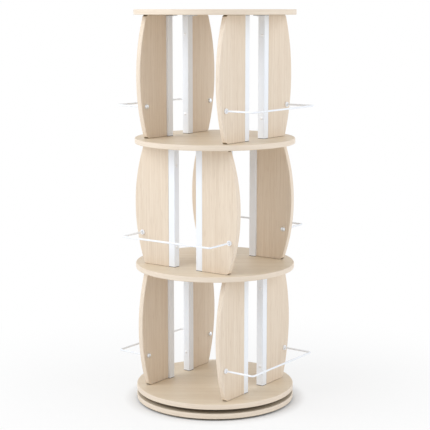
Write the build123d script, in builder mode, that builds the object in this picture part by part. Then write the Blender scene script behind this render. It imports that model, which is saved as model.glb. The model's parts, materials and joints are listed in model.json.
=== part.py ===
from build123d import *

import os
from math import asin, cos, sin, sqrt

os.makedirs("parts", exist_ok=True)

# A three-tier revolving bookcase, in millimetres. It turns about Z and stands on the floor at zero.
# Seen from the front, +X is right and +Y is back.

# Discs: a fixed base, and four that turn together and carry the tiers
disc_diameter = 460.0
disc_thickness = 15.0
disc_edge_radius = 2.0
tier_height = 347.0  # clear height between two discs

# Pads under the base
pad_diameter = 32.0
pad_height = 5.0
pad_edge_radius = 1.0
pad_rim_margin = 24.0  # rim of the base to a pad's edge
pad_count = 6

# Walls: two boards in line, each on its own post, with a gap between the posts
wall_offset = 144.0  # turning axis to a wall's outer face
board_thickness = 15.0
board_bulge_radius = 475.0
board_corner_radius = 9.0
board_edge_radius = 2.0
post_width = 22.0
post_wall = 1.5
post_inner_radius = 0.5
post_gap = 74.0
post_plate_thickness = 3.0  # plate on the top of a post
post_tab_length = 18.0  # the plate's reach inwards past the post

# Wire guards outside the walls
guard_diameter = 5.5
guard_edge_distance = 20.0  # bulging edge of a board to the leg that passes it
guard_standoff = 93.0  # wall's outer face to the bar
guard_bend_radius = 7.0
guard_height = 91.0  # above the disc that carries the books

# Collars on the outer face and cap nuts on the inner face, where a guard's leg passes a board
collar_diameter = 15.0
collar_flange = 3.2
collar_neck_diameter = 12.4
collar_height = 5.0
collar_mouth_diameter = 9.1  # of the flared recess round the wire
collar_mouth_depth = 4.0
collar_sleeve_diameter = 8.5
collar_edge_radius = 0.6
cap_diameter = 14.0
cap_height = 6.0
cap_rim = 2.0
cap_grip = 3.0  # length of leg inside the cap nut

# Screws up through the discs into plugs in the lower ends of the posts
disc_screw_diameter = 6.0
disc_screw_head_diameter = 11.5
disc_screw_bite = 16.0
plug_height = 20.0
plug_flange = 1.5  # between the post and the disc
plug_flange_inset = 0.3  # post's side to the flange's edge

# Screws up through the tabs of the posts' plates into the discs above
tab_screw_diameter = 4.0
tab_screw_head_diameter = 8.0
tab_screw_head_height = 2.2
tab_screw_bite = 11.0

# Screws through the posts into the edges of the boards
board_screw_diameter = 4.0
board_screw_head_diameter = 9.0
board_screw_head_height = 1.7
board_screw_bite = 30.0
board_screw_end_distance = 58.0  # from the disc above or below
board_screw_face_distance = 9.0  # from the wall's outer face

# Swivel bearing between base and turntable disc
bearing_height = 12.0
bearing_diameter = 216.0
plate_thickness = 2.0
ball_diameter = 7.0
ball_count = 18
race_width = 12.0
race_rim_distance = 23.0  # rim of the plates to the middle of the race
race_gap = 4.0  # between the two races, where the cage runs
race_web_gap = 7.7  # race to the web that carries the lip
cage_width = 11.0
cage_thickness = 2.0
hub_wall = 4.0
lip_width = 13.0  # edge of the upper plate that the retaining ring holds down
ring_side_gap = 1.0
ring_headroom = 0.7
bearing_screw_diameter = 3.5
bearing_screw_head_diameter = 7.0
bearing_screw_head_height = 1.8
bearing_screw_bite = 11.0
bearing_screw_rim_distance = 8.5
bearing_screw_count = 6

# Clearances
fit_clearance = 0.1  # between a piece and the hole that holds it
running_clearance = 0.3  # between pieces that turn past each other
ball_clearance = 0.15
cut_overrun = 1.0

# Cross recess of a screw, in shares of the diameter of its head
recess_length_share = 0.56
recess_width_share = 0.15
recess_depth_share = 0.14

# Heights
base_bottom = pad_height
bearing_bottom = base_bottom + disc_thickness
turntable_bottom = bearing_bottom + bearing_height
tier_pitch = tier_height + disc_thickness
floors = {
    tier: turntable_bottom + disc_thickness + tier_pitch * level
    for level, tier in enumerate(("lower", "middle", "upper"))
}

# Places along a wall, from its middle
post_place = post_gap / 2 + post_width / 2
tab_screw_depth = post_width + post_tab_length / 2
board_start = post_gap / 2 + post_width
board_reach = sqrt((disc_diameter / 2) ** 2 - wall_offset**2)  # the bulge is flush with the discs


def board_edge(rise):
    # Bulging edge of a board at a height above or below its middle
    return board_reach - board_bulge_radius + sqrt(board_bulge_radius**2 - rise**2)


board_end = board_edge(tier_height / 2)
guard_span = 2 * (board_edge(tier_height / 2 - guard_height) - guard_edge_distance)  # from leg to leg

# The lower and upper tiers have a wall on the right and left, the middle tier at the front and back
up = Vector(0, 0, 1)
outward = {
    "right": Vector(1, 0, 0),
    "left": Vector(-1, 0, 0),
    "front": Vector(0, -1, 0),
    "back": Vector(0, 1, 0),
}
walls = {"lower": ("right", "left"), "middle": ("front", "back"), "upper": ("right", "left")}
ends = {
    "right": {-1: "front", 1: "back"},
    "left": {-1: "back", 1: "front"},
    "front": {-1: "left", 1: "right"},
    "back": {-1: "right", 1: "left"},
}


def save(piece, name):
    piece.part.label = name
    export_step(piece.part, f"parts/{name}.step")


def face_plane(wall, height):
    # In the wall's outer face: X along the wall, Y up, Z outwards
    normal = outward[wall]
    return Plane(origin=normal * wall_offset + up * height, x_dir=up.cross(normal), z_dir=normal)


def level_plane(wall, height):
    # Level: X along the wall, Y inwards from its outer face, Z up
    normal = outward[wall]
    return Plane(origin=normal * wall_offset + up * height, x_dir=up.cross(normal), z_dir=up)


def post_points(tier, depth, height):
    # One at each post of a tier, at a depth behind the wall's outer face
    return [
        level_plane(wall, height).from_local_coords((side * post_place, depth, 0))
        for wall in walls[tier]
        for side in (-1, 1)
    ]


def screw_seats_below(tier, depth, height):
    # At each post of a tier, for a screw that goes up
    return [Plane(origin=point, z_dir=-up) for point in post_points(tier, depth, height)]


def leg_planes(tier, depth):
    # Across each guard leg of a tier, at a depth behind the wall's outer face, with Z outwards
    planes = []
    for wall in walls[tier]:
        face = face_plane(wall, floors[tier] + guard_height).offset(-depth)
        for side in (-1, 1):
            planes.append(face.shift_origin(face.from_local_coords((side * guard_span / 2, 0, 0))))
    return planes


def gap_plane(tier, wall, side):
    # In the face that a post turns to the gap, on the line of its screws: X up, Z into the gap
    level = level_plane(wall, floors[tier] + tier_height / 2)
    origin = level.from_local_coords((side * post_gap / 2, board_screw_face_distance, 0))
    return Plane(origin=origin, x_dir=up, z_dir=level.x_dir * -side)


board_screw_rise = tier_height / 2 - board_screw_end_distance
board_screw_places = ((board_screw_rise, 0), (-board_screw_rise, 0))
bearing_screw_circle_diameter = bearing_diameter - 2 * bearing_screw_rim_distance
base_seat = Plane.XY.offset(bearing_bottom)
turntable_seat = Plane(origin=up * turntable_bottom, z_dir=-up)


# Screws, each along Z with the face that its head seats on at zero
def cross_recess(head_diameter, height):
    with BuildSketch(Plane.XY.offset(height)) as cross:
        for turn in (0, 90):
            Rectangle(head_diameter * recess_length_share, head_diameter * recess_width_share, rotation=turn)
    return cross.sketch


def dome_point(radius, rise):
    # Halfway along the arc of a spherical dome from its rim to its top
    sphere_radius = (radius**2 + rise**2) / (2 * rise)
    angle = asin(radius / sphere_radius) / 2
    return (sphere_radius * sin(angle), sphere_radius * cos(angle) - sphere_radius + rise)


def make_countersunk_screw(diameter, head_diameter, length):
    with BuildPart() as screw:
        with BuildSketch(Plane.XZ):
            with BuildLine():
                Polyline(
                    (0, 0),
                    (head_diameter / 2, 0),
                    (diameter / 2, (diameter - head_diameter) / 2),
                    (diameter / 2, -length),
                    (0, -length),
                    close=True,
                )
            make_face()
        revolve(axis=Axis.Z)
        recess_depth = head_diameter * recess_depth_share
        extrude(cross_recess(head_diameter, 0), amount=-recess_depth, mode=Mode.SUBTRACT)
    return screw


def make_pan_screw(diameter, head_diameter, head_height, length):
    rim = (head_diameter / 2, 0)
    top = (0, head_height)
    with BuildPart() as screw:
        with BuildSketch(Plane.XZ):
            with BuildLine():
                Polyline(top, (0, -length), (diameter / 2, -length), (diameter / 2, 0), rim)
                ThreePointArc(rim, dome_point(head_diameter / 2, head_height), top)
            make_face()
        revolve(axis=Axis.Z)
        recess_depth = head_diameter * recess_depth_share
        extrude(cross_recess(head_diameter, head_height), amount=-recess_depth, mode=Mode.SUBTRACT)
    return screw


def bearing_screw_holes(seat):
    with BuildSketch(seat) as holes:
        with PolarLocations(bearing_screw_circle_diameter / 2, bearing_screw_count):
            Circle(bearing_screw_diameter / 2 + fit_clearance)
    return holes.sketch


# Discs, with countersunk holes for the posts above, and pilot holes for the tabs below and the bearing
def make_disc(bottom, tier_below=None, tier_above=None, bearing_seat=None):
    hole_radius = disc_screw_diameter / 2 + fit_clearance
    head_radius = disc_screw_head_diameter / 2 + fit_clearance
    with BuildPart() as disc:
        with BuildSketch(Plane.XY.offset(bottom)):
            Circle(disc_diameter / 2)
        extrude(amount=disc_thickness)
        fillet(disc.edges().filter_by(GeomType.CIRCLE), disc_edge_radius)
        if tier_below:
            with BuildSketch(Plane.XY.offset(bottom)):
                with Locations(*post_points(tier_below, tab_screw_depth, 0)):
                    Circle(tab_screw_diameter / 2 + fit_clearance)
            extrude(amount=tab_screw_bite + fit_clearance, mode=Mode.SUBTRACT)
        if tier_above:
            with Locations(*screw_seats_below(tier_above, post_width / 2, bottom)):
                CounterSinkHole(hole_radius, head_radius, counter_sink_angle=90)
        if bearing_seat:
            bite = bearing_screw_bite + fit_clearance
            extrude(bearing_screw_holes(bearing_seat), amount=-bite, mode=Mode.SUBTRACT)
    return disc


save(make_disc(base_bottom, bearing_seat=base_seat), "base_disc")
save(make_disc(turntable_bottom, tier_above="lower", bearing_seat=turntable_seat), "turntable_disc")
save(make_disc(floors["middle"] - disc_thickness, "lower", "middle"), "lower_shelf_disc")
save(make_disc(floors["upper"] - disc_thickness, "middle", "upper"), "upper_shelf_disc")
save(make_disc(floors["upper"] + tier_height, tier_below="upper"), "top_disc")


# Screws that hold the posts to the discs below them
disc_screw = make_countersunk_screw(
    disc_screw_diameter, disc_screw_head_diameter, disc_thickness + disc_screw_bite
)
for name, tier in (("turntable", "lower"), ("lower_shelf", "middle"), ("upper_shelf", "upper")):
    with BuildPart() as disc_screws:
        with Locations(*screw_seats_below(tier, post_width / 2, floors[tier] - disc_thickness)):
            add(disc_screw.part)
    save(disc_screws, f"{name}_screws")


# Pads
with BuildPart() as foot_pads:
    with BuildSketch():
        with PolarLocations((disc_diameter - pad_diameter) / 2 - pad_rim_margin, pad_count):
            Circle(pad_diameter / 2)
    extrude(amount=pad_height)
    fillet(foot_pads.edges().group_by(Axis.Z)[0], pad_edge_radius)
save(foot_pads, "foot_pads")


# Swivel bearing: two plates with a race each, balls in a cage, and a ring that keeps the plates together
bearing_middle = bearing_bottom + bearing_height / 2
race_rise = (bearing_height - race_gap) / 2
ball_circle = bearing_diameter / 2 - race_rim_distance
web_radius = ball_circle - race_width / 2 - race_web_gap - plate_thickness
lip_radius = web_radius - lip_width
hub_radius = lip_radius - running_clearance - hub_wall
ring_radius = web_radius - ring_side_gap
ring_bottom = turntable_bottom - ring_headroom - plate_thickness
lip_bottom = ring_bottom - running_clearance - plate_thickness
lowest = (Align.MIN, Align.MIN)
highest = (Align.MIN, Align.MAX)


def race_groove():
    with Locations((ball_circle, bearing_middle)):
        Circle(ball_diameter / 2 + ball_clearance, mode=Mode.SUBTRACT)


with BuildPart() as bearing_lower_plate:
    with BuildSketch(Plane.XZ):
        with Locations((hub_radius, bearing_bottom)):
            Rectangle(bearing_diameter / 2 - hub_radius, plate_thickness, align=lowest)
            Rectangle(hub_wall, ring_bottom - bearing_bottom, align=lowest)
        with Locations((ball_circle - race_width / 2, bearing_bottom)):
            Rectangle(race_width, race_rise, align=lowest)
        race_groove()
    revolve(axis=Axis.Z)
    extrude(bearing_screw_holes(base_seat), amount=plate_thickness, mode=Mode.SUBTRACT)
save(bearing_lower_plate, "bearing_lower_plate")

with BuildPart() as bearing_upper_plate:
    with BuildSketch(Plane.XZ):
        with Locations((web_radius, turntable_bottom)):
            Rectangle(bearing_diameter / 2 - web_radius, plate_thickness, align=highest)
            Rectangle(plate_thickness, turntable_bottom - lip_bottom, align=highest)
        with Locations((lip_radius, lip_bottom)):
            Rectangle(lip_width + plate_thickness, plate_thickness, align=lowest)
        with Locations((ball_circle - race_width / 2, turntable_bottom)):
            Rectangle(race_width, race_rise, align=highest)
        race_groove()
    revolve(axis=Axis.Z)
    extrude(bearing_screw_holes(turntable_seat), amount=plate_thickness, mode=Mode.SUBTRACT)
save(bearing_upper_plate, "bearing_upper_plate")

with BuildPart() as bearing_retaining_ring:
    with BuildSketch(Plane.XY.offset(ring_bottom)):
        Circle(ring_radius)
        Circle(hub_radius, mode=Mode.SUBTRACT)
    extrude(amount=plate_thickness)
save(bearing_retaining_ring, "bearing_retaining_ring")

with BuildPart() as bearing_ball_cage:
    with BuildSketch(Plane.XY.offset(bearing_middle)):
        Circle(ball_circle + cage_width / 2)
        Circle(ball_circle - cage_width / 2, mode=Mode.SUBTRACT)
        with PolarLocations(ball_circle, ball_count):
            Circle(ball_diameter / 2 + ball_clearance, mode=Mode.SUBTRACT)
    extrude(amount=cage_thickness / 2, both=True)
save(bearing_ball_cage, "bearing_ball_cage")

with BuildPart(Plane.XY.offset(bearing_middle)) as bearing_balls:
    with PolarLocations(ball_circle, ball_count):
        Sphere(ball_diameter / 2)
save(bearing_balls, "bearing_balls")

bearing_screw = make_pan_screw(
    bearing_screw_diameter,
    bearing_screw_head_diameter,
    bearing_screw_head_height,
    plate_thickness + bearing_screw_bite,
)
for name, seat in (("bearing_lower_screws", base_seat), ("bearing_upper_screws", turntable_seat)):
    with BuildPart(seat.offset(plate_thickness)) as bearing_screws:
        with PolarLocations(bearing_screw_circle_diameter / 2, bearing_screw_count):
            add(bearing_screw.part)
    save(bearing_screws, name)


# Boards
def make_board(tier, wall, side):
    half = tier_height / 2
    start = side * board_start
    end = side * board_end
    with BuildPart() as board:
        with BuildSketch(face_plane(wall, floors[tier] + half)) as outline:
            with BuildLine():
                Polyline((end, half), (start, half), (start, -half), (end, -half))
                ThreePointArc((end, -half), (side * board_reach, 0), (end, half))
            make_face()
            fillet(outline.vertices().sort_by(lambda corner: abs(corner.X))[-2:], board_corner_radius)
        extrude(amount=-board_thickness)
        fillet(board.edges().filter_by(GeomType.CIRCLE).sort_by(SortBy.LENGTH)[-2:], board_edge_radius)
        with BuildSketch(face_plane(wall, floors[tier] + guard_height)):
            with Locations((side * guard_span / 2, 0)):
                Circle(collar_sleeve_diameter / 2 + fit_clearance)
        extrude(amount=-board_thickness - cut_overrun, mode=Mode.SUBTRACT)
        with BuildSketch(gap_plane(tier, wall, side)):
            with Locations(*board_screw_places):
                Circle(board_screw_diameter / 2 + fit_clearance)
        extrude(amount=-post_width - board_screw_bite - fit_clearance, mode=Mode.SUBTRACT)
    return board


# Posts: square tubes, each on a plug and under a plate
post_radius = post_inner_radius + post_wall


def make_post(tier, wall, side):
    hollow = post_width - 2 * post_wall
    with BuildPart() as post:
        with BuildSketch(level_plane(wall, floors[tier] + plug_flange)):
            with Locations((side * post_place, post_width / 2)):
                RectangleRounded(post_width, post_width, post_radius)
                RectangleRounded(hollow, hollow, post_inner_radius, mode=Mode.SUBTRACT)
        extrude(amount=tier_height - plug_flange - post_plate_thickness)
        with BuildSketch(gap_plane(tier, wall, side)):
            with Locations(*board_screw_places):
                Circle(board_screw_diameter / 2 + fit_clearance)
        extrude(amount=-post_width - cut_overrun, mode=Mode.SUBTRACT)
    return post


# Guards: one bent wire each, from cap nut to cap nut
def make_guard(tier, wall):
    half = guard_span / 2
    tip = board_thickness + cap_grip
    with BuildPart() as guard:
        with BuildLine(level_plane(wall, floors[tier] + guard_height)) as route:
            FilletPolyline(
                (-half, tip),
                (-half, -guard_standoff),
                (half, -guard_standoff),
                (half, tip),
                radius=guard_bend_radius,
            )
        with BuildSketch(Plane(origin=route.line @ 0, z_dir=route.line % 0)):
            Circle(guard_diameter / 2)
        sweep()
    return guard


board_screw = make_pan_screw(
    board_screw_diameter,
    board_screw_head_diameter,
    board_screw_head_height,
    post_width + board_screw_bite,
)
plug_width = post_width - 2 * post_wall - 2 * fit_clearance
flange_width = post_width - 2 * plug_flange_inset

for tier, floor in floors.items():
    screw_seats = []
    for wall in walls[tier]:
        save(make_guard(tier, wall), f"{tier}_guard_{wall}")
        for side, end_name in ends[wall].items():
            save(make_board(tier, wall, side), f"{tier}_board_{wall}_{end_name}")
            save(make_post(tier, wall, side), f"{tier}_post_{wall}_{end_name}")
            seat = gap_plane(tier, wall, side)
            screw_seats += [seat.shift_origin(seat.from_local_coords(place)) for place in board_screw_places]

    with BuildPart() as board_screws:
        with Locations(*screw_seats):
            add(board_screw.part)
    save(board_screws, f"{tier}_board_screws")

    with BuildPart() as post_plugs:
        for width, radius, height in (
            (flange_width, post_radius - plug_flange_inset, plug_flange),
            (plug_width, post_inner_radius, plug_flange + plug_height),
        ):
            with BuildSketch(Plane.XY.offset(floor)):
                with Locations(*post_points(tier, post_width / 2, 0)):
                    RectangleRounded(width, width, radius)
            extrude(amount=height)
        with BuildSketch(Plane.XY.offset(floor)):
            with Locations(*post_points(tier, post_width / 2, 0)):
                Circle(disc_screw_diameter / 2 + fit_clearance)
        extrude(amount=plug_flange + plug_height, mode=Mode.SUBTRACT)
    save(post_plugs, f"{tier}_post_plugs")


# Plates on the tops of the posts, and the screws that hold their tabs up against the discs
with BuildPart() as post_plates:
    for tier, wall in [(tier, wall) for tier in floors for wall in walls[tier]]:
        with BuildSketch(level_plane(wall, floors[tier] + tier_height - post_plate_thickness)):
            with Locations((-post_place, 0), (post_place, 0)):
                RectangleRounded(
                    post_width, post_width + post_tab_length, post_radius, align=(Align.CENTER, Align.MIN)
                )
            with Locations((-post_place, tab_screw_depth), (post_place, tab_screw_depth)):
                Circle(tab_screw_diameter / 2 + fit_clearance, mode=Mode.SUBTRACT)
        extrude(amount=post_plate_thickness)
save(post_plates, "post_plates")

tab_screw = make_pan_screw(
    tab_screw_diameter,
    tab_screw_head_diameter,
    tab_screw_head_height,
    post_plate_thickness + tab_screw_bite,
)
with BuildPart() as tab_screws:
    for tier, floor in floors.items():
        with Locations(*screw_seats_below(tier, tab_screw_depth, floor + tier_height - post_plate_thickness)):
            add(tab_screw.part)
save(tab_screws, "tab_screws")


# Collars and cap nuts at the guards' legs
leg_bore = guard_diameter / 2 + fit_clearance
with BuildPart() as collar:
    with BuildSketch(Plane.XZ) as collar_section:
        with BuildLine():
            Polyline(
                (leg_bore, -board_thickness),
                (collar_sleeve_diameter / 2, -board_thickness),
                (collar_sleeve_diameter / 2, 0),
                (collar_diameter / 2, 0),
                (collar_diameter / 2, collar_flange),
                (collar_neck_diameter / 2, collar_height),
                (collar_mouth_diameter / 2, collar_height),
                (leg_bore, collar_height - collar_mouth_depth),
                close=True,
            )
        make_face()
        fillet(collar_section.vertices().sort_by(Axis.Y)[-3:].sort_by(Axis.X)[-2:], collar_edge_radius)
    revolve(axis=Axis.Z)

with BuildPart() as cap_nut:
    with BuildSketch(Plane.XZ):
        with BuildLine():
            rim = (cap_diameter / 2, cap_rim)
            top = (0, cap_height)
            dome_x, dome_rise = dome_point(cap_diameter / 2, cap_height - cap_rim)
            bore_end = cap_grip + fit_clearance
            Polyline(top, (0, bore_end), (leg_bore, bore_end), (leg_bore, 0), (cap_diameter / 2, 0), rim)
            ThreePointArc(rim, (dome_x, cap_rim + dome_rise), top)
        make_face()
    revolve(axis=Axis.Z)

with BuildPart() as guard_collars:
    for tier in floors:
        with Locations(*leg_planes(tier, 0)):
            add(collar.part)
save(guard_collars, "guard_collars")

with BuildPart() as guard_cap_nuts:
    for tier in floors:
        with Locations(*[-plane for plane in leg_planes(tier, board_thickness)]):
            add(cap_nut.part)
save(guard_cap_nuts, "guard_cap_nuts")
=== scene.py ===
import bmesh
import bpy
import json
import math
from mathutils import Matrix, Vector

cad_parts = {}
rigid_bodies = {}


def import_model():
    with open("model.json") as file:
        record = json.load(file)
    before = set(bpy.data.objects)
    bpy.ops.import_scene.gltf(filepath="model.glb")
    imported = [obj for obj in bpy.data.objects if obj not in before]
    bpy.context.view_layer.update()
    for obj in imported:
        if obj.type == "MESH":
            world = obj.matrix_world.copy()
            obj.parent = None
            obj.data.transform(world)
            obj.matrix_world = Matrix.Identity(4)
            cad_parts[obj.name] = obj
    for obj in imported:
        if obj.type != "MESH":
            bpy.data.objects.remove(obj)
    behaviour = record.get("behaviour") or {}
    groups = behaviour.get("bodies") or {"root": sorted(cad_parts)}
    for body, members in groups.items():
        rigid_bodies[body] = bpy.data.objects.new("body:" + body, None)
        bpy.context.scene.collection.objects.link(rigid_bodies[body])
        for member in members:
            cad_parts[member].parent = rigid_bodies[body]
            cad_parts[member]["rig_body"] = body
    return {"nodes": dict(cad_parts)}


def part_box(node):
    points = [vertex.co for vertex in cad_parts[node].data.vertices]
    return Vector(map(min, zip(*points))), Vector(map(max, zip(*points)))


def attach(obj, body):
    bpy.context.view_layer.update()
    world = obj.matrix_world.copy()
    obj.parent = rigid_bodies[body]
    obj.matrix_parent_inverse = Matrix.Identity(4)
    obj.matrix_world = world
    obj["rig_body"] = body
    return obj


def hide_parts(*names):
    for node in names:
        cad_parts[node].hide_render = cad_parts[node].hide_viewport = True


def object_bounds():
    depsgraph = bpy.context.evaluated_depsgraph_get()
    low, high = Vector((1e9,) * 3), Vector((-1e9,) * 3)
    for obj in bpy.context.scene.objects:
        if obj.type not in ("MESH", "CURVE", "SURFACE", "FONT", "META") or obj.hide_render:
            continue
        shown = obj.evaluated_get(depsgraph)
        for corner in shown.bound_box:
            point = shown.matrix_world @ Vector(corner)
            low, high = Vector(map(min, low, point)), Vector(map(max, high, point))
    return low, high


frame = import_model()
cadLow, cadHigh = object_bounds()
nodes = frame["nodes"]
scene = bpy.context.scene
print("frame loaded:", len(nodes), "nodes")


# node tree helpers

floatType, colorType, vectorType = "NodeSocketFloat", "NodeSocketColor", "NodeSocketVector"
meshType, materialType = "NodeSocketGeometry", "NodeSocketMaterial"


def addNode(tree, kind, values=None, **settings):
    made = tree.nodes.new(kind)
    for name, value in settings.items():
        setattr(made, name, value)
    for key, value in (values or {}).items():
        if isinstance(value, bpy.types.NodeSocket):
            tree.links.new(value, made.inputs[key])
        else:
            made.inputs[key].default_value = value
    return made.outputs


def calc(tree, operation, first, second=0.0):
    return addNode(tree, "ShaderNodeMath", {0: first, 1: second}, operation=operation)[0]


def minus(tree, value):
    return calc(tree, "MULTIPLY", value, -1.0)


def vector(tree, x=0.0, y=0.0, z=0.0):
    return addNode(tree, "ShaderNodeCombineXYZ", {"X": x, "Y": y, "Z": z})[0]


def remap(tree, value, span, newSpan=(0.0, 1.0), **settings):
    ends = {1: span[0], 2: span[1], 3: newSpan[0], 4: newSpan[1]}
    return addNode(tree, "ShaderNodeMapRange", {0: value, **ends}, **settings)[0]


def blendColors(tree, share, first, second):
    return addNode(tree, "ShaderNodeMix", {0: share, 6: first, 7: second}, data_type="RGBA")[2]


def noise(tree, place, scale, detail):
    return addNode(tree, "ShaderNodeTexNoise", {"Vector": place, "Scale": scale, "Detail": detail})[0]


def drawnOut(tree, place, along, across, detail):
    # noise with its own number of cells in a metre along X and across it
    stretched = addNode(tree, "ShaderNodeMapping", {"Vector": place, "Scale": (along, across, across)})[0]
    return noise(tree, stretched, 1.0, detail)


def newTree(name, kind, inputs, outputs):
    tree = bpy.data.node_groups.new(name, kind)
    for label, socketType in inputs.items():
        tree.interface.new_socket(label, in_out="INPUT", socket_type=socketType)
    for label, socketType in outputs.items():
        tree.interface.new_socket(label, in_out="OUTPUT", socket_type=socketType)
    return tree, tree.nodes.new("NodeGroupInput").outputs, tree.nodes.new("NodeGroupOutput").inputs


def putOut(tree, result, **sockets):
    for label, socket in sockets.items():
        tree.links.new(socket, result[label])


# shader groups, each used by several finishes

finishOutputs = {"Color": colorType, "Roughness": floatType, "Height": floatType}
noiseSpan = (0.3, 0.7)  # most of a noise lies in here

woodGrain = {
    "bands": (1.5, 45.0, 2.0),   # cells in a metre along and across the grain, and detail
    "streaks": (6.0, 260.0, 1.0),
    "fibres": (16.0, 900.0, 2.0),
    "pores": (26.0, 620.0, 1.0),
    "fibreShare": 0.3,           # of the tone; bands and streaks have the rest
    "fibreRelief": 0.4,
    "poreSpan": (0.6, 0.74),     # only the peaks of their noise are pores
    "poreShade": 0.45,
    "roughness": (0.4, 0.52),
}
paintTexture = {
    "peelDetail": 2.0,
    "cloudScale": 14.0,
    "cloudDetail": 3.0,
    "cloudSpan": (0.35, 0.65),
    "glossChange": (-0.04, 0.05),
}
metalTexture = {
    "lines": (120.0, 2600.0, 2.0),
    "cloudScale": 90.0,
    "cloudDetail": 4.0,
    "glossChange": (-0.06, 0.1),
}


def makeWoodFigure():
    # straight grain along X of the vector: broad bands, streaks, fibres and short pores
    tree, given, result = newTree(
        "woodFigure", "ShaderNodeTree",
        {"Vector": vectorType, "Pale": colorType, "Deep": colorType, "Pore": colorType, "Bands": floatType},
        finishOutputs,
    )
    bands = drawnOut(tree, given["Vector"], *woodGrain["bands"])
    streaks = drawnOut(tree, given["Vector"], *woodGrain["streaks"])
    fibres = drawnOut(tree, given["Vector"], *woodGrain["fibres"])
    pores = remap(tree, drawnOut(tree, given["Vector"], *woodGrain["pores"]), woodGrain["poreSpan"])
    streakShare = calc(tree, "SUBTRACT", 1.0 - woodGrain["fibreShare"], given["Bands"])
    tone = calc(tree, "MULTIPLY", bands, given["Bands"])
    tone = calc(tree, "ADD", tone, calc(tree, "MULTIPLY", streaks, streakShare))
    tone = calc(tree, "ADD", tone, calc(tree, "MULTIPLY", fibres, woodGrain["fibreShare"]))
    ground = blendColors(tree, remap(tree, tone, noiseSpan), given["Pale"], given["Deep"])
    poreShade = calc(tree, "MULTIPLY", pores, woodGrain["poreShade"])
    colour = blendColors(tree, poreShade, ground, given["Pore"])
    roughness = remap(tree, streaks, noiseSpan, woodGrain["roughness"])
    relief = calc(tree, "SUBTRACT", calc(tree, "MULTIPLY", fibres, woodGrain["fibreRelief"]), pores)
    putOut(tree, result, Color=colour, Roughness=roughness, Height=relief)
    return tree


def makePaintSkin():
    # faint orange peel and uneven gloss of paint and moulded plastic
    tree, given, result = newTree(
        "paintSkin", "ShaderNodeTree",
        {"Vector": vectorType, "Light": colorType, "Dull": colorType, "Peel": floatType, "Gloss": floatType},
        finishOutputs,
    )
    peel = noise(tree, given["Vector"], given["Peel"], paintTexture["peelDetail"])
    cloud = noise(tree, given["Vector"], paintTexture["cloudScale"], paintTexture["cloudDetail"])
    colour = blendColors(tree, remap(tree, cloud, paintTexture["cloudSpan"]), given["Light"], given["Dull"])
    gloss = calc(tree, "ADD", given["Gloss"], remap(tree, cloud, noiseSpan, paintTexture["glossChange"]))
    putOut(tree, result, Color=colour, Roughness=gloss, Height=peel)
    return tree


def makeMetalTone():
    # fine drawn lines along X of the vector, over a cloudy plating
    tree, given, result = newTree(
        "metalTone", "ShaderNodeTree",
        {"Vector": vectorType, "Bright": colorType, "Dark": colorType, "Gloss": floatType},
        finishOutputs,
    )
    lines = drawnOut(tree, given["Vector"], *metalTexture["lines"])
    cloud = noise(tree, given["Vector"], metalTexture["cloudScale"], metalTexture["cloudDetail"])
    colour = blendColors(tree, remap(tree, cloud, noiseSpan), given["Bright"], given["Dark"])
    gloss = calc(tree, "ADD", given["Gloss"], remap(tree, lines, noiseSpan, metalTexture["glossChange"]))
    putOut(tree, result, Color=colour, Roughness=gloss, Height=lines)
    return tree


woodFigure = makeWoodFigure()
paintSkin = makePaintSkin()
metalTone = makeMetalTone()


# ways to lay a pattern on a piece, from its Object coordinates

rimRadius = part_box("top_disc")[1].x  # all discs are of one size


def asItIs(tree, place):
    return place


def turnedBy(x, y, z):
    def lay(tree, place):
        angles = [math.radians(angle) for angle in (x, y, z)]
        return addNode(tree, "ShaderNodeMapping", {"Vector": place, "Rotation": angles})[0]
    return lay


def roundTheRim(tree, place):
    # along the rim of a disc, then up
    axes = addNode(tree, "ShaderNodeSeparateXYZ", {0: place})
    arc = calc(tree, "MULTIPLY", calc(tree, "ARCTAN2", axes["Y"], axes["X"]), rimRadius)
    return vector(tree, arc, axes["Z"])


uprightGrain = turnedBy(0, 90, 0)
shelfGrain = turnedBy(0, 0, -35.5)


# finishes: colours in red, green and blue, bumps in metres

def newFinish(name, group, lay, pattern, bump, shading):
    finish = bpy.data.materials.new(name)
    finish.use_nodes = True
    tree = finish.node_tree
    shader = tree.nodes["Principled BSDF"]
    for label, value in shading.items():
        shader.inputs[label].default_value = value
    pattern = {
        label: (*value, 1.0) if isinstance(value, tuple) else value for label, value in pattern.items()
    }
    place = addNode(tree, "ShaderNodeTexCoord")["Object"]
    made = addNode(tree, "ShaderNodeGroup", {"Vector": lay(tree, place), **pattern}, node_tree=group)
    relief = addNode(tree, "ShaderNodeBump", {"Height": made["Height"], "Distance": bump})[0]
    tree.links.new(made["Color"], shader.inputs["Base Color"])
    tree.links.new(made["Roughness"], shader.inputs["Roughness"])
    tree.links.new(relief, shader.inputs["Normal"])
    return finish


laminate = {
    "Pale": (0.848, 0.728, 0.59),
    "Deep": (0.757, 0.625, 0.484),
    "Pore": (0.6, 0.46, 0.34),
    "Bands": 0.08,
}
# the board laminate drawn darker and yellower for the discs: painted shade for the shelf tops that lie under
# the discs above
shelfTop = {
    "Pale": (0.812, 0.7, 0.543),
    "Deep": (0.724, 0.597, 0.441),
    "Pore": (0.57, 0.44, 0.31),
    "Bands": 0.5,
}
edgeBand = {
    "Pale": (0.875, 0.76, 0.625),
    "Deep": (0.79, 0.665, 0.53),
    "Pore": (0.65, 0.51, 0.39),
    "Bands": 0.08,
}
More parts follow.
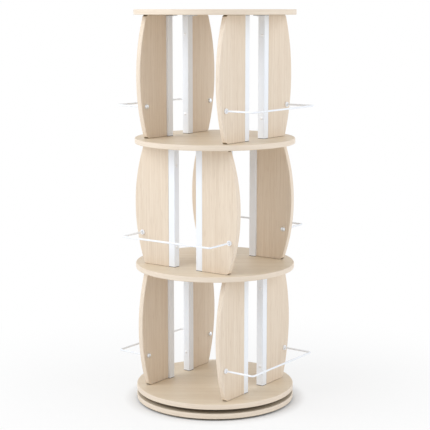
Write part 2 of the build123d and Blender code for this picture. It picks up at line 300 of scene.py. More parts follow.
# dark raw board, partly painted shade: it darkens the creases and corners at the board ends and the gaps
# under the base and turntable
rawBoard = {
    "Pale": (0.3, 0.232, 0.145),
    "Deep": (0.22, 0.168, 0.103),
    "Pore": (0.15, 0.11, 0.066),
    "Bands": 0.3,
}
whitePaint = {"Light": (0.93, 0.957, 0.997), "Dull": (0.91, 0.937, 0.977)}
powderCoat = {**whitePaint, "Peel": 700.0, "Gloss": 0.36}
glossCoat = {**whitePaint, "Peel": 420.0, "Gloss": 0.24}
whiteMoulding = {"Light": (0.965, 0.97, 0.985), "Dull": (0.945, 0.95, 0.965), "Peel": 1500.0, "Gloss": 0.32}
blackMoulding = {"Light": (0.075, 0.075, 0.08), "Dull": (0.055, 0.055, 0.06), "Peel": 1200.0, "Gloss": 0.5}
softRubber = {"Light": (0.035, 0.034, 0.033), "Dull": (0.02, 0.02, 0.02), "Peel": 1900.0, "Gloss": 0.72}
brightZinc = {"Bright": (0.93, 0.935, 0.945), "Dark": (0.86, 0.865, 0.88), "Gloss": 0.48}
dullZinc = {"Bright": (0.58, 0.59, 0.6), "Dark": (0.42, 0.43, 0.45), "Gloss": 0.34}
nickel = {"Bright": (0.84, 0.885, 0.94), "Dark": (0.79, 0.835, 0.89), "Gloss": 0.38}
polishedSteel = {"Bright": (0.8, 0.8, 0.81), "Dark": (0.74, 0.74, 0.76), "Gloss": 0.12}


def newWood(name, lay, pattern, bump):
    return newFinish(name, woodFigure, lay, pattern, bump, {"Specular IOR Level": 0.4})


def newPaint(name, pattern, bump, specular, coat=0.0):
    shading = {"Specular IOR Level": specular, "Coat Weight": coat}
    return newFinish(name, paintSkin, asItIs, pattern, bump, shading)


def newMetal(name, pattern, bump):
    return newFinish(name, metalTone, asItIs, pattern, bump, {"Metallic": 1.0})


boardFace = newWood("mapleBoard", uprightGrain, laminate, bump=0.00005)
boardEdge = newWood("mapleBoardEdge", uprightGrain, edgeBand, bump=0.00004)
rawBoardAndShadeFace = newWood("rawBoard", asItIs, rawBoard, bump=0.00012)
discFace = newWood("mapleDisc", shelfGrain, shelfTop, bump=0.00005)
discEdge = newWood("mapleDiscEdge", roundTheRim, edgeBand, bump=0.00004)
postPaint = newPaint("whitePowderCoat", powderCoat, bump=0.00003, specular=0.3)
wirePaint = newPaint("whiteGlossCoat", glossCoat, bump=0.00002, specular=0.5, coat=0.3)
whitePlastic = newPaint("whitePlastic", whiteMoulding, bump=0.00001, specular=0.5)
blackNylon = newPaint("blackNylon", blackMoulding, bump=0.00002, specular=0.4)
blackRubber = newPaint("blackRubber", softRubber, bump=0.00008, specular=0.35)
zincPlate = newMetal("zincPlate", brightZinc, bump=0.00001)
plateSteel = newMetal("plateSteel", dullZinc, bump=0.00002)
satinNickel = newMetal("satinNickel", nickel, bump=0.000002)
ballSteel = newMetal("ballSteel", polishedSteel, bump=0.000002)
print("finishes made")


# mesh helpers

meshCare = {
    "weld": 1e-5,        # points nearer than this become one
    "axisRadius": 1e-6,  # of the tiny circle that profiles are turned along
    "crease": 40,        # degrees between faces that meet in a sharp edge
    "flatArea": 5e-4,    # larger faces are flat, whatever meets their edges
}


def lineThrough(tree, place, count):
    line = addNode(tree, "GeometryNodeMeshLine", {"Count": count})[0]
    line = addNode(tree, "GeometryNodeSetPosition", {"Geometry": line, "Position": place})[0]
    return addNode(tree, "GeometryNodeMeshToCurve", {"Mesh": line})[0]


def polyline(tree, points):
    # a curve through points given as (across, down), each a number or a socket
    choice = tree.nodes.new("GeometryNodeIndexSwitch")
    choice.data_type = "VECTOR"
    while len(choice.index_switch_items) < len(points):
        choice.index_switch_items.new()
    for number, (across, down) in enumerate(points):
        tree.links.new(vector(tree, across, down), choice.inputs[number + 1])
    tree.links.new(addNode(tree, "GeometryNodeInputIndex")[0], choice.inputs["Index"])
    return lineThrough(tree, choice.outputs[0], len(points))


def domeCurve(tree, radius, rise, rim, steps):
    # a quarter ellipse from the top of a dome, rim above zero, to its foot
    index = addNode(tree, "GeometryNodeInputIndex")[0]
    angle = calc(tree, "MULTIPLY", index, math.pi / 2 / (steps - 1))
    across = calc(tree, "MULTIPLY", radius, calc(tree, "SINE", angle))
    height = calc(tree, "ADD", rim, calc(tree, "MULTIPLY", rise, calc(tree, "COSINE", angle)))
    return lineThrough(tree, vector(tree, across, minus(tree, height)), steps)


def rounded(tree, curve, radius, count):
    return addNode(
        tree, "GeometryNodeFilletCurve",
        {"Curve": curve, "Radius": radius, "Count": count, "Limit Radius": True}, mode="POLY",
    )[0]


def turned(tree, profile, steps):
    # the profile swept round Z; its second coordinate points down
    circle = {"Radius": meshCare["axisRadius"], "Resolution": steps}
    axis = addNode(tree, "GeometryNodeCurvePrimitiveCircle", circle)[0]
    return addNode(tree, "GeometryNodeCurveToMesh", {"Curve": axis, "Profile Curve": profile})[0]


def joined(tree, *meshes):
    join = tree.nodes.new("GeometryNodeJoinGeometry")
    for mesh in meshes:
        tree.links.new(mesh, join.inputs[0])
    return join.outputs[0]


def welded(tree, *meshes):
    parts = {"Geometry": joined(tree, *meshes), "Distance": meshCare["weld"]}
    return addNode(tree, "GeometryNodeMergeByDistance", parts)[0]


def realized(tree, mesh):
    return addNode(tree, "GeometryNodeRealizeInstances", {0: mesh})[0]


def covered(tree, mesh, material, chosen=True):
    values = {"Geometry": mesh, "Selection": chosen, "Material": material}
    return addNode(tree, "GeometryNodeSetMaterial", values)[0]


def cutOut(tree, mesh, tools, toolsCross=False):
    values = {"Mesh 1": mesh, "Mesh 2": tools, "Self Intersection": toolsCross}
    return addNode(tree, "GeometryNodeMeshBoolean", values, operation="DIFFERENCE", solver="EXACT")["Mesh"]


def seatOnPoints(tree, points, piece, material):
    # one copy on each point, its Z along the point's aim
    aim = addNode(tree, "GeometryNodeInputNamedAttribute", {"Name": "aim"}, data_type="FLOAT_VECTOR")[0]
    turn = addNode(tree, "FunctionNodeAlignRotationToVector", {"Vector": aim})[0]
    values = {"Points": points, "Instance": piece, "Rotation": turn}
    copies = addNode(tree, "GeometryNodeInstanceOnPoints", values)[0]
    return covered(tree, realized(tree, copies), material)


def pointMesh(name, places):
    # places are pairs of a point and the way that the piece on it faces
    mesh = bpy.data.meshes.new(name)
    mesh.from_pydata([place for place, aim in places], [], [])
    aims = mesh.attributes.new("aim", "FLOAT_VECTOR", "POINT")
    aims.data.foreach_set("vector", [part for place, aim in places for part in aim])
    return mesh


def grow(name, tree, start, values):
    # runs a tree on a start mesh and gives back a plain mesh
    seed = bpy.data.objects.new(name, start)
    scene.collection.objects.link(seed)
    modifier = seed.modifiers.new(name, "NODES")
    modifier.node_group = tree
    for item in tree.interface.items_tree:
        if item.in_out == "INPUT" and item.name in values:
            modifier[item.identifier] = values[item.name]
    graph = bpy.context.evaluated_depsgraph_get()
    grown = seed.evaluated_get(graph)
    mesh = bpy.data.meshes.new_from_object(grown, preserve_all_data_layers=True, depsgraph=graph)
    mesh.name = name
    seed.modifiers.clear()
    bpy.data.objects.remove(seed)
    return mesh


def newPiece(nodeName, mesh):
    # the piece that stands for a node, named after it
    mesh.shade_smooth()
    mesh.set_sharp_from_angle(angle=math.radians(meshCare["crease"]))
    for face in mesh.polygons:
        if face.area > meshCare["flatArea"]:
            face.use_smooth = False
    first, *rest = nodeName.split("_")
    piece = bpy.data.objects.new(first + "".join(word.capitalize() for word in rest), mesh)
    scene.collection.objects.link(piece)
    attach(piece, nodes[nodeName]["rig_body"])
    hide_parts(nodeName)


# places that the frame gives

up = Vector((0, 0, 1))
outward = {
    "right": Vector((1, 0, 0)),
    "left": Vector((-1, 0, 0)),
    "front": Vector((0, -1, 0)),
    "back": Vector((0, 1, 0)),
}
tierWalls = {"lower": ("right", "left"), "middle": ("front", "back"), "upper": ("right", "left")}
wallEnds = {
    "right": ("front", "back"),
    "left": ("front", "back"),
    "front": ("left", "right"),
    "back": ("left", "right"),
}
wallList = [(tier, wall) for tier, walls in tierWalls.items() for wall in walls]
boardList = [(tier, wall, end) for tier, wall in wallList for end in wallEnds[wall]]


def spans(nodeName, wall):
    # a node's reach along its wall, up, and out from the turning axis
    low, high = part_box(nodeName)
    axes = {"along": up.cross(outward[wall]), "up": up, "out": outward[wall]}
    return {name: sorted((low.dot(axis), high.dot(axis))) for name, axis in axes.items()}


def wallPoint(wall, along, height, out):
    return up.cross(outward[wall]) * along + up * height + outward[wall] * out


def middle(span):
    return (span[0] + span[1]) / 2


def extent(span):
    return span[1] - span[0]


# discs: turned, with countersinks in the underside for the screws of the posts above

discShape = {
    "Edge Radius": 0.002,
    "Flat Margin": 0.0015,   # ring inside the rounding, so that the shading of the faces stays flat
    "Head Radius": 0.00585,  # of the countersinks
    "Head Depth": 0.00275,
    "headSteps": 40,
    "rimSteps": 256,
    "roundSteps": 6,
    "underside": -0.5,       # faces that look further down than this are underside
    "touch": 0.0005,         # a board end this near a disc stands on it
}
discUndersides = {"base_disc": rawBoardAndShadeFace, "turntable_disc": rawBoardAndShadeFace}  # the base and turntable undersides are dark raw board, partly painted shade that deepens the gap and the line under the base; the others are laminated


def makeDiscTree():
    tree, given, result = newTree(
        "turnedDisc", "GeometryNodeTree",
        {"Geometry": meshType, "Radius": floatType, "Thickness": floatType, "Bottom": floatType,
         "Edge Radius": floatType, "Flat Margin": floatType, "Head Radius": floatType,
         "Head Depth": floatType, "Face": materialType, "Underside": materialType, "Edge": materialType},
        {"Geometry": meshType},
    )
    radius, top = given["Radius"], minus(tree, given["Thickness"])
    rimStart = calc(tree, "SUBTRACT", radius, given["Edge Radius"])
    flat = calc(tree, "SUBTRACT", rimStart, given["Flat Margin"])
    profile = polyline(tree, [(0.0, top), (flat, top), (radius, top), (radius, 0.0), (flat, 0.0), (0.0, 0.0)])
    profile = rounded(tree, profile, given["Edge Radius"], discShape["roundSteps"])
    plain = welded(tree, turned(tree, profile, discShape["rimSteps"]))
    lift = vector(tree, z=given["Bottom"])
    plain = addNode(tree, "GeometryNodeTransform", {"Geometry": plain, "Translation": lift})[0]

    sinkTop = calc(tree, "SUBTRACT", given["Head Radius"], given["Head Depth"])
    sink = addNode(
        tree, "GeometryNodeMeshCone",
        {"Vertices": discShape["headSteps"], "Radius Bottom": given["Head Radius"], "Radius Top": sinkTop,
         "Depth": given["Head Depth"]},
    )["Mesh"]
    sinks = addNode(tree, "GeometryNodeInstanceOnPoints", {"Points": given["Geometry"], "Instance": sink})[0]
    solid = realized(tree, cutOut(tree, plain, realized(tree, sinks)))

    place = addNode(tree, "GeometryNodeInputPosition")[0]
    level = addNode(tree, "ShaderNodeVectorMath", {0: place, 1: (1.0, 1.0, 0.0)}, operation="MULTIPLY")[0]
    fromAxis = addNode(tree, "ShaderNodeVectorMath", {0: level}, operation="LENGTH")["Value"]
    onRim = calc(tree, "GREATER_THAN", fromAxis, rimStart)
    slope = addNode(tree, "ShaderNodeSeparateXYZ", {0: addNode(tree, "GeometryNodeInputNormal")[0]})["Z"]
    facesDown = calc(tree, "LESS_THAN", slope, discShape["underside"])
    solid = covered(tree, solid, given["Face"])
    solid = covered(tree, solid, given["Edge"], onRim)
    # faces that look down take the Underside finish, on the base and turntable a dark raw board that is
    # partly painted shade
    solid = covered(tree, solid, given["Underside"], facesDown)
    putOut(tree, result, Geometry=solid)
    return tree


def makeDiscs():
    tree = makeDiscTree()
    stands = []
    for tier, wall, end in boardList:
        low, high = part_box(f"{tier}_post_{wall}_{end}")
        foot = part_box(f"{tier}_board_{wall}_{end}")[0].z
        stands.append((middle((low.x, high.x)), middle((low.y, high.y)), foot))
    for nodeName in ("base_disc", "turntable_disc", "lower_shelf_disc", "upper_shelf_disc", "top_disc"):
        low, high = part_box(nodeName)
        holes = [(Vector((x, y, low.z)), -up) for x, y, z in stands if abs(z - high.z) < discShape["touch"]]
        mesh = grow(nodeName, tree, pointMesh(nodeName, holes), {
            "Radius": rimRadius, "Thickness": high.z - low.z, "Bottom": low.z, **discShape,
            "Face": discFace, "Underside": discUndersides.get(nodeName, discFace), "Edge": discEdge,
        })
        newPiece(nodeName, mesh)
    print("discs turned")


# boards: one straight edge on the post, one bulging edge

boardShape = {
    "bulgeRadius": 0.475,
    "cornerRadius": 0.009,
    "edgeRadius": 0.002,
    "flatMargin": 0.0015,
    "easeIn": 0.003,      # from the post to where the rounding of the ends is full
    "bulgeSteps": 48,
    "cornerSteps": 10,
    "roundSteps": 6,
    "legHole": 0.00435,
    "holeSteps": 36,
    "flatFace": 0.995,    # what looks less straight to the side than this belongs to the edge
    "rawAndShadeSlope": 0.42,      # the edge band stops where the edge slopes this much up or down; past it the rounding is dark raw board, partly painted shade in the crease at the disc
}


def boardOutline(start, reach, height):
    # from the post out along the lower end, round the bulge and back
    # each point has its way in and its share of the rounding
    half, bulge, corner = height / 2, boardShape["bulgeRadius"], boardShape["cornerRadius"]
    centreX = reach - bulge
    cornerX = centreX + math.sqrt((bulge - corner) ** 2 - (half - corner) ** 2)
    sweep = math.atan2(half - corner, cornerX - centreX)
    full = start + boardShape["easeIn"]
    points = [((start, -half), (0, 1), 0.0), ((full, -half), (0, 1), 1.0)]

    def addArc(x, y, radius, first, last, steps):
        for step in range(steps + 1):
            angle = first + (last - first) * step / steps
            away = (math.cos(angle), math.sin(angle))
            points.append(((x + radius * away[0], y + radius * away[1]), (-away[0], -away[1]), 1.0))

    addArc(cornerX, corner - half, corner, -math.pi / 2, -sweep, boardShape["cornerSteps"])
    addArc(centreX, 0, bulge, -sweep, sweep, boardShape["bulgeSteps"])
    addArc(cornerX, half - corner, corner, sweep, math.pi / 2, boardShape["cornerSteps"])
    points += [((full, half), (0, -1), 1.0), ((start, half), (0, -1), 0.0)]
    return points


def boardMesh(start, reach, height, thickness, legPlace):
    # X along the wall, Y up from the middle, Z through the thickness
    outline = boardOutline(start, reach, height)
    steps, flat = boardShape["roundSteps"], boardShape["flatMargin"]
    quarter = [math.pi / 2 * step / steps for step in range(steps + 1)]
    rings = [(-1, angle, 0.0) for angle in quarter[::-1]] + [(1, angle, 0.0) for angle in quarter]
    rings = [(-1, math.pi / 2, flat), *rings, (1, math.pi / 2, flat)]
    build = bmesh.new()
    loops = []
    for side, angle, margin in rings:
        loop = []
        for (x, y), (inX, inY), share in outline:
            radius = boardShape["edgeRadius"] * share
            inset = radius * (1 - math.cos(angle)) + margin * share
            depth = side * (thickness / 2 - radius * (1 - math.sin(angle)))
            loop.append(build.verts.new((x + inX * inset, y + inY * inset, depth)))
        loops.append(loop)
    count = len(outline)
    for lower, upper in zip(loops, loops[1:]):
        for number in range(count):
            following = (number + 1) % count
            build.faces.new((lower[number], lower[following], upper[following], upper[number]))
    build.faces.new(loops[0][::-1])
    build.faces.new(loops[-1])
    bmesh.ops.remove_doubles(build, verts=build.verts, dist=meshCare["weld"])
    bmesh.ops.recalc_face_normals(build, faces=build.faces)
    mesh = bpy.data.meshes.new("board")
    build.to_mesh(mesh)
    build.free()
    return drilled(mesh, legPlace, thickness * 2)


def drilled(mesh, place, depth):
    # a round hole along Z
    board = bpy.data.objects.new("board", mesh)
    drill = bpy.data.objects.new("drill", bpy.data.meshes.new("drill"))
    radius, steps = boardShape["legHole"], boardShape["holeSteps"]
    build = bmesh.new()
    bmesh.ops.create_cone(
        build, cap_ends=True, segments=steps, radius1=radius, radius2=radius, depth=depth,
        matrix=Matrix.Translation((*place, 0)),
    )
    build.to_mesh(drill.data)
    build.free()
    for part in (board, drill):
        scene.collection.objects.link(part)
    cut = board.modifiers.new("legHole", "BOOLEAN")
    cut.object = drill
    cut.solver = "EXACT"
    graph = bpy.context.evaluated_depsgraph_get()
    result = bpy.data.meshes.new_from_object(board.evaluated_get(graph))
    for part in (board, drill):
        bpy.data.objects.remove(part)
    return result


def coverBoard(mesh):
    # laminate on the faces, band on the bulging edge, raw board on the two ends and their roundings, made
    # dark as painted shade where the boards meet the discs
    mesh.materials.clear()
    for finish in (boardFace, boardEdge, rawBoardAndShadeFace):
        mesh.materials.append(finish)
    onFace, onEdge, onRawAndShade = range(3)
    for face in mesh.polygons:
        face.material_index = onFace if abs(face.normal.z) > boardShape["flatFace"] else onEdge
        # the ends and their sloping roundings are dark raw board, partly painted shade for the crease where a
        # board meets a disc
        if abs(face.normal.y) > boardShape["rawAndShadeSlope"]:
            face.material_index = onRawAndShade


def makeBoards():
    for tier, wall, end in boardList:
        nodeName = f"{tier}_board_{wall}_{end}"
        reach, leg = spans(nodeName, wall), spans(f"{tier}_guard_{wall}", wall)
        near, far = sorted(abs(place) for place in reach["along"])
        legPlace = (leg["along"][1] - extent(leg["up"]) / 2, middle(leg["up"]) - middle(reach["up"]))
        mesh = boardMesh(near, far, extent(reach["up"]), extent(reach["out"]), legPlace)
        coverBoard(mesh)
        # a half turn about Z swaps the two ends of a wall, and the board's two faces are alike
        side = 1 if middle(reach["along"]) > 0 else -1
        along, out = up.cross(outward[wall]) * side, outward[wall] * side
        turn = Matrix((along, up, out)).transposed().to_4x4()
        middlePoint = wallPoint(wall, 0, middle(reach["up"]), middle(reach["out"]))
        mesh.transform(Matrix.Translation(middlePoint) @ turn)
        newPiece(nodeName, mesh)
    print("boards cut:", len(boardList))


# posts: square tubes

postShape = {"Wall": 0.0015, "Corner Radius": 0.002, "roundSteps": 6}


def makePostTree():
    tree, given, result = newTree(
        "squarePost", "GeometryNodeTree",
        {"Geometry": meshType, "Width": floatType, "Height": floatType, "Wall": floatType,
         "Corner Radius": floatType, "Paint": materialType},
        {"Geometry": meshType},
    )
    bore = calc(tree, "SUBTRACT", given["Width"], calc(tree, "MULTIPLY", given["Wall"], 2.0))
    boreRadius = calc(tree, "SUBTRACT", given["Corner Radius"], given["Wall"])
    rings = []
    for width, radius in ((given["Width"], given["Corner Radius"]), (bore, boreRadius)):
        sides = {"Width": width, "Height": width}
        square = addNode(tree, "GeometryNodeCurvePrimitiveQuadrilateral", sides)[0]
        rings.append(rounded(tree, square, radius, postShape["roundSteps"]))
    section = addNode(tree, "GeometryNodeFillCurve", {"Curve": joined(tree, *rings)}, mode="NGONS")[0]
    pull = {"Mesh": section, "Offset": vector(tree, z=given["Height"]), "Individual": False}
    tube = addNode(tree, "GeometryNodeExtrudeMesh", pull)["Mesh"]
    foot = addNode(tree, "GeometryNodeFlipFaces", {"Mesh": section})[0]
    solid = realized(tree, welded(tree, tube, foot))
    putOut(tree, result, Geometry=covered(tree, solid, given["Paint"]))
    return tree


def makePosts():
    tree = makePostTree()
    for tier, wall, end in boardList:
        nodeName = f"{tier}_post_{wall}_{end}"
        low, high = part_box(nodeName)
        sizes = {"Width": high.x - low.x, "Height": high.z - low.z, "Paint": postPaint, **postShape}
        mesh = grow(nodeName, tree, bpy.data.meshes.new(nodeName), sizes)
        mesh.transform(Matrix.Translation((middle((low.x, high.x)), middle((low.y, high.y)), low.z)))
        newPiece(nodeName, mesh)
    print("posts set:", len(boardList))


# guards: bent wire, with a collar outside and a cap nut inside each board that a leg passes

guardShape = {"Bend Radius": 0.007, "bendSteps": 12, "roundSteps": 24}
collarShape = {
    "Flange Radius": 0.0075,
    "Flange": 0.0032,
    "Neck Radius": 0.0062,
    "Height": 0.005,
    "Sleeve Radius": 0.00425,
    "Mouth": 0.0018,       # how much wider than the wire
    "Mouth Depth": 0.004,
    "Rounding": 0.0006,
    "roundSteps": 4,
    "turnSteps": 40,
}
capShape = {"Radius": 0.007, "Rim": 0.002, "Rise": 0.004, "domeSteps": 10, "turnSteps": 40}


def makeWireTree():
    tree, given, result = newTree(
        "bentWire", "GeometryNodeTree",
        {"Geometry": meshType, "Wire Radius": floatType, "Bend Radius": floatType, "Paint": materialType},
        {"Geometry": meshType},
    )
    route = addNode(tree, "GeometryNodeMeshToCurve", {"Mesh": given["Geometry"]})[0]
    route = rounded(tree, route, given["Bend Radius"], guardShape["bendSteps"])
    circle = {"Radius": given["Wire Radius"], "Resolution": guardShape["roundSteps"]}
    section = addNode(tree, "GeometryNodeCurvePrimitiveCircle", circle)[0]
    sweep = {"Curve": route, "Profile Curve": section, "Fill Caps": True}
    wire = addNode(tree, "GeometryNodeCurveToMesh", sweep)[0]
    putOut(tree, result, Geometry=covered(tree, realized(tree, wire), given["Paint"]))
    return tree


def makeCollarTree():
    tree, given, result = newTree(
        "legCollar", "GeometryNodeTree",
        {"Geometry": meshType, "Bore": floatType, "Flange Radius": floatType, "Flange": floatType,
         "Neck Radius": floatType, "Height": floatType, "Sleeve Radius": floatType, "Sleeve": floatType,
         "Mouth": floatType, "Mouth Depth": floatType, "Rounding": floatType, "Plastic": materialType},
        {"Geometry": meshType},
    )
    top, shoulder = minus(tree, given["Height"]), minus(tree, given["Flange"])
    mouth = calc(tree, "ADD", given["Bore"], given["Mouth"])
    mouthFloor = calc(tree, "ADD", top, given["Mouth Depth"])
    profile = polyline(tree, [
        (given["Bore"], mouthFloor), (mouth, top), (given["Neck Radius"], top),
        (given["Flange Radius"], shoulder), (given["Flange Radius"], 0.0), (given["Sleeve Radius"], 0.0),
        (given["Sleeve Radius"], given["Sleeve"]), (given["Bore"], given["Sleeve"]),
    ])
    profile = addNode(tree, "GeometryNodeSetSplineCyclic", {"Geometry": profile, "Cyclic": True})[0]
    profile = rounded(tree, profile, given["Rounding"], collarShape["roundSteps"])
    collar = turned(tree, profile, collarShape["turnSteps"])
    putOut(tree, result, Geometry=seatOnPoints(tree, given["Geometry"], collar, given["Plastic"]))
    return tree


def makeCapTree():
    tree, given, result = newTree(
        "capNut", "GeometryNodeTree",
        {"Geometry": meshType, "Radius": floatType, "Rim": floatType, "Rise": floatType,
         "Metal": materialType},
        {"Geometry": meshType},
    )
    radius, rim, steps = given["Radius"], given["Rim"], capShape["turnSteps"]
    dome = turned(tree, domeCurve(tree, radius, given["Rise"], rim, capShape["domeSteps"]), steps)
    side = turned(tree, polyline(tree, [(radius, minus(tree, rim)), (radius, 0.0), (0.0, 0.0)]), steps)
    cap = welded(tree, dome, side)
    putOut(tree, result, Geometry=seatOnPoints(tree, given["Geometry"], cap, given["Metal"]))
    return tree


def makeGuards():
    wireTree = makeWireTree()
    collarPlaces, capPlaces = [], []
    for tier, wall in wallList:
        nodeName = f"{tier}_guard_{wall}"
        wire, board = spans(nodeName, wall), spans(f"{tier}_board_{wall}_{wallEnds[wall][0]}", wall)
        radius = extent(wire["up"]) / 2
        height, tip, bar = middle(wire["up"]), wire["out"][0], wire["out"][1] - radius
        legs = (wire["along"][0] + radius, wire["along"][1] - radius)
        corners = [(legs[0], tip), (legs[0], bar), (legs[1], bar), (legs[1], tip)]
        points = [wallPoint(wall, along, height, out) for along, out in corners]
        route = bpy.data.meshes.new(nodeName)
        route.from_pydata(points, [(0, 1), (1, 2), (2, 3)], [])
        mesh = grow(nodeName, wireTree, route, {"Wire Radius": radius, "Paint": wirePaint, **guardShape})
        newPiece(nodeName, mesh)
        for along in legs:
            collarPlaces.append((wallPoint(wall, along, height, board["out"][1]), outward[wall]))
            capPlaces.append((wallPoint(wall, along, height, board["out"][0]), -outward[wall]))

    # all wires and all boards are alike, so the last ones give the collars their bore and length
    collarSizes = {"Bore": radius, "Sleeve": extent(board["out"]), "Plastic": whitePlastic, **collarShape}
    collars = grow("guardCollars", makeCollarTree(), pointMesh("guardCollars", collarPlaces), collarSizes)
    newPiece("guard_collars", collars)
    capSizes = {"Metal": satinNickel, **capShape}
    caps = grow("guardCapNuts", makeCapTree(), pointMesh("guardCapNuts", capPlaces), capSizes)
    newPiece("guard_cap_nuts", caps)
    print("guards bent:", len(wallList), "with", len(collarPlaces), "collars and cap nuts")


# screws that hold the boards to the posts, with their heads in the gap of a wall

screwShape = {
    "Head Radius": 0.0045,
    "Head Rise": 0.0017,
    "Shank Radius": 0.002,
    "Recess Length": 0.0044,
    "Recess Width": 0.0011,
    "Recess Depth": 0.0006,
    "domeSteps": 9,
    "turnSteps": 36,
}
screwPlace = {"fromDisc": 0.058, "fromFace": 0.009, "bite": 0.03}


def makeScrewTree():
    tree, given, result = newTree(
        "panScrew", "GeometryNodeTree",
        {"Geometry": meshType, "Head Radius": floatType, "Head Rise": floatType, "Shank Radius": floatType,
         "Length": floatType, "Recess Length": floatType, "Recess Width": floatType,
         "Recess Depth": floatType, "Metal": materialType},
        {"Geometry": meshType},
    )
    dome = domeCurve(tree, given["Head Radius"], given["Head Rise"], 0.0, screwShape["domeSteps"])
    shank = polyline(tree, [
        (given["Head Radius"], 0.0), (given["Shank Radius"], 0.0), (given["Shank Radius"], given["Length"]),
        (0.0, given["Length"]),
    ])
    plain = welded(tree, *(turned(tree, profile, screwShape["turnSteps"]) for profile in (dome, shank)))
    depth = calc(tree, "MULTIPLY", given["Recess Depth"], 2.0)
    lift = vector(tree, z=given["Head Rise"])
    arms = []
    for first, second in (("Recess Length", "Recess Width"), ("Recess Width", "Recess Length")):
        size = vector(tree, given[first], given[second], depth)
        arm = addNode(tree, "GeometryNodeMeshCube", {"Size": size})["Mesh"]
        arms.append(addNode(tree, "GeometryNodeTransform", {"Geometry": arm, "Translation": lift})[0])
    screw = cutOut(tree, plain, joined(tree, *arms), toolsCross=True)
    putOut(tree, result, Geometry=seatOnPoints(tree, given["Geometry"], screw, given["Metal"]))
    return tree


def screwSeats(wall, post, board):
    # two on the post's face in the gap, one near each disc
    gapFace = min(post["along"], key=abs)
    out = post["out"][1] - screwPlace["fromFace"]
    aim = up.cross(outward[wall]) * math.copysign(1, -gapFace)
    heights = (board["up"][0] + screwPlace["fromDisc"], board["up"][1] - screwPlace["fromDisc"])
    return [(wallPoint(wall, gapFace, height, out), aim) for height in heights]


def makeScrews():
    tree = makeScrewTree()
    for tier, walls in tierWalls.items():
        nodeName = f"{tier}_board_screws"
        places = []
        for wall in walls:
            for end in wallEnds[wall]:
                post = spans(f"{tier}_post_{wall}_{end}", wall)
                places += screwSeats(wall, post, spans(f"{tier}_board_{wall}_{end}", wall))
        sizes = {"Length": extent(post["along"]) + screwPlace["bite"], "Metal": zincPlate, **screwShape}
        mesh = grow(nodeName, tree, pointMesh(nodeName, places), sizes)
        newPiece(nodeName, mesh)
    print("board screws driven")


# finishes of the CAD pieces that stay

keptFinishes = {
    "foot_pads": blackRubber,
    "bearing_lower_plate": plateSteel,
    "bearing_upper_plate": plateSteel,
    "bearing_retaining_ring": plateSteel,
    "bearing_ball_cage": blackNylon,
    "bearing_balls": ballSteel,
    "bearing_lower_screws": zincPlate,
    "bearing_upper_screws": zincPlate,
    "turntable_screws": zincPlate,
    "lower_shelf_screws": zincPlate,
    "upper_shelf_screws": zincPlate,
    "tab_screws": zincPlate,
    "post_plates": plateSteel,
    "lower_post_plugs": blackNylon,
    "middle_post_plugs": blackNylon,
    "upper_post_plugs": blackNylon,
}


def finishKeptNodes():
    for nodeName, finish in keptFinishes.items():
        for materialSlot in nodes[nodeName].material_slots:
            materialSlot.material = finish
    print("kept pieces finished:", len(keptFinishes))


# floor, light and camera: turns are degrees round the axis from the front, lifts degrees above level

stage = {
    "floorReach": 9.0,
    "paper": (0.93, 0.925, 0.915, 1.0),
    "shadeTo": 0.235,     # under the base, out to here, the floor is only what the light makes it
    "nearTo": 0.27,
    "whiteNear": 0.7,     # share of plain white that it has at nearTo
    "whiteFrom": 1.1,     # from here on it is all white
    "ambient": 0.645,
    "tint": (0.98, 1.0, 1.03, 1.0),
    "white": (1.0, 1.0, 1.0, 1.0),
}
lamps = {
    "keySoftbox": {"turn": -29, "lift": 33, "far": 3.4, "size": 2.6, "power": 55},
    "sideSoftbox": {"turn": 105, "lift": 22, "far": 3.4, "size": 3.0, "power": 35},
}
viewpoint = {"turn": 35.55, "far": 3.568, "height": 1.13, "pitch": 9.318, "lens": 104.45, "sensor": 36.0}


def seenDirectly(tree):
    # rays from the camera, or from it by a mirror or through glass
    path = addNode(tree, "ShaderNodeLightPath")
    seen = calc(tree, "MAXIMUM", path["Is Camera Ray"], path["Is Glossy Ray"])
    return calc(tree, "MAXIMUM", seen, path["Is Transmission Ray"])


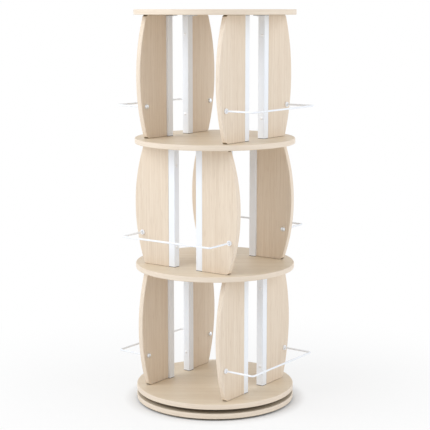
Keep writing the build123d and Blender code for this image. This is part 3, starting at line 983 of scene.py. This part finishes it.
def makeFloor():
    mesh = bpy.data.meshes.new("floor")
    build = bmesh.new()
    bmesh.ops.create_grid(build, x_segments=1, y_segments=1, size=stage["floorReach"])
    build.to_mesh(mesh)
    build.free()
    floor = bpy.data.objects.new("floor", mesh)
    scene.collection.objects.link(floor)

    paper = bpy.data.materials.new("whitePaper")
    paper.use_nodes = True
    tree = paper.node_tree
    tree.nodes.clear()
    place = addNode(tree, "ShaderNodeTexCoord")["Object"]
    fromAxis = addNode(tree, "ShaderNodeVectorMath", {0: place}, operation="LENGTH")["Value"]
    near = remap(tree, fromAxis, (stage["shadeTo"], stage["nearTo"]), (0.0, stage["whiteNear"]))
    rest = remap(
        tree, fromAxis, (stage["nearTo"], stage["whiteFrom"]), (0.0, 1.0 - stage["whiteNear"]),
        interpolation_type="SMOOTHSTEP",
    )
    share = calc(tree, "MULTIPLY", calc(tree, "ADD", near, rest), seenDirectly(tree))
    white = addNode(tree, "ShaderNodeEmission", {"Strength": 1.0})[0]
    matt = addNode(tree, "ShaderNodeBsdfDiffuse", {"Color": stage["paper"]})[0]
    mixed = addNode(tree, "ShaderNodeMixShader", {0: share, 1: matt, 2: white})[0]
    addNode(tree, "ShaderNodeOutputMaterial", {"Surface": mixed})
    mesh.materials.append(paper)


def makeRoom():
    # plain white where it is seen, a little dimmer and cooler as light on the object
    world = bpy.data.worlds.new("whiteRoom")
    world.use_nodes = True
    scene.world = world
    tree = world.node_tree
    background = tree.nodes["Background"]
    seen = seenDirectly(tree)
    strength = remap(tree, seen, (0.0, 1.0), (stage["ambient"], 1.0))
    tree.links.new(blendColors(tree, seen, stage["tint"], stage["white"]), background.inputs["Color"])
    tree.links.new(strength, background.inputs["Strength"])


def aimedFrom(turn, lift, far, target):
    # a place round the axis, and the turn that looks from it at the target
    turn, lift = math.radians(turn), math.radians(lift)
    away = Vector((math.sin(turn) * math.cos(lift), -math.cos(turn) * math.cos(lift), math.sin(lift)))
    return Matrix.Translation(target + away * far) @ away.to_track_quat("Z", "Y").to_matrix().to_4x4()


def makeLamps():
    target = (cadLow + cadHigh) / 2
    for name, lamp in lamps.items():
        light = bpy.data.lights.new(name, "AREA")
        light.size = lamp["size"]
        light.energy = lamp["power"]
        light.color = stage["tint"][:3]
        lightObject = bpy.data.objects.new(name, light)
        scene.collection.objects.link(lightObject)
        lightObject.matrix_world = aimedFrom(lamp["turn"], lamp["lift"], lamp["far"], target)


def makeCamera():
    lens = bpy.data.cameras.new("camera")
    lens.lens = viewpoint["lens"]
    lens.sensor_width = viewpoint["sensor"]
    camera = bpy.data.objects.new("camera", lens)
    scene.collection.objects.link(camera)
    turn, far = math.radians(viewpoint["turn"]), viewpoint["far"]
    camera.location = (math.sin(turn) * far, -math.cos(turn) * far, viewpoint["height"])
    camera.rotation_euler = (math.radians(90 - viewpoint["pitch"]), 0, turn)  # 90 looks level
    scene.camera = camera


makeDiscs()
makeBoards()
makePosts()
makeGuards()
makeScrews()
finishKeptNodes()
makeFloor()
makeRoom()
makeLamps()
makeCamera()
scene.view_settings.view_transform = "Standard"
print("stage, lamps and camera placed")
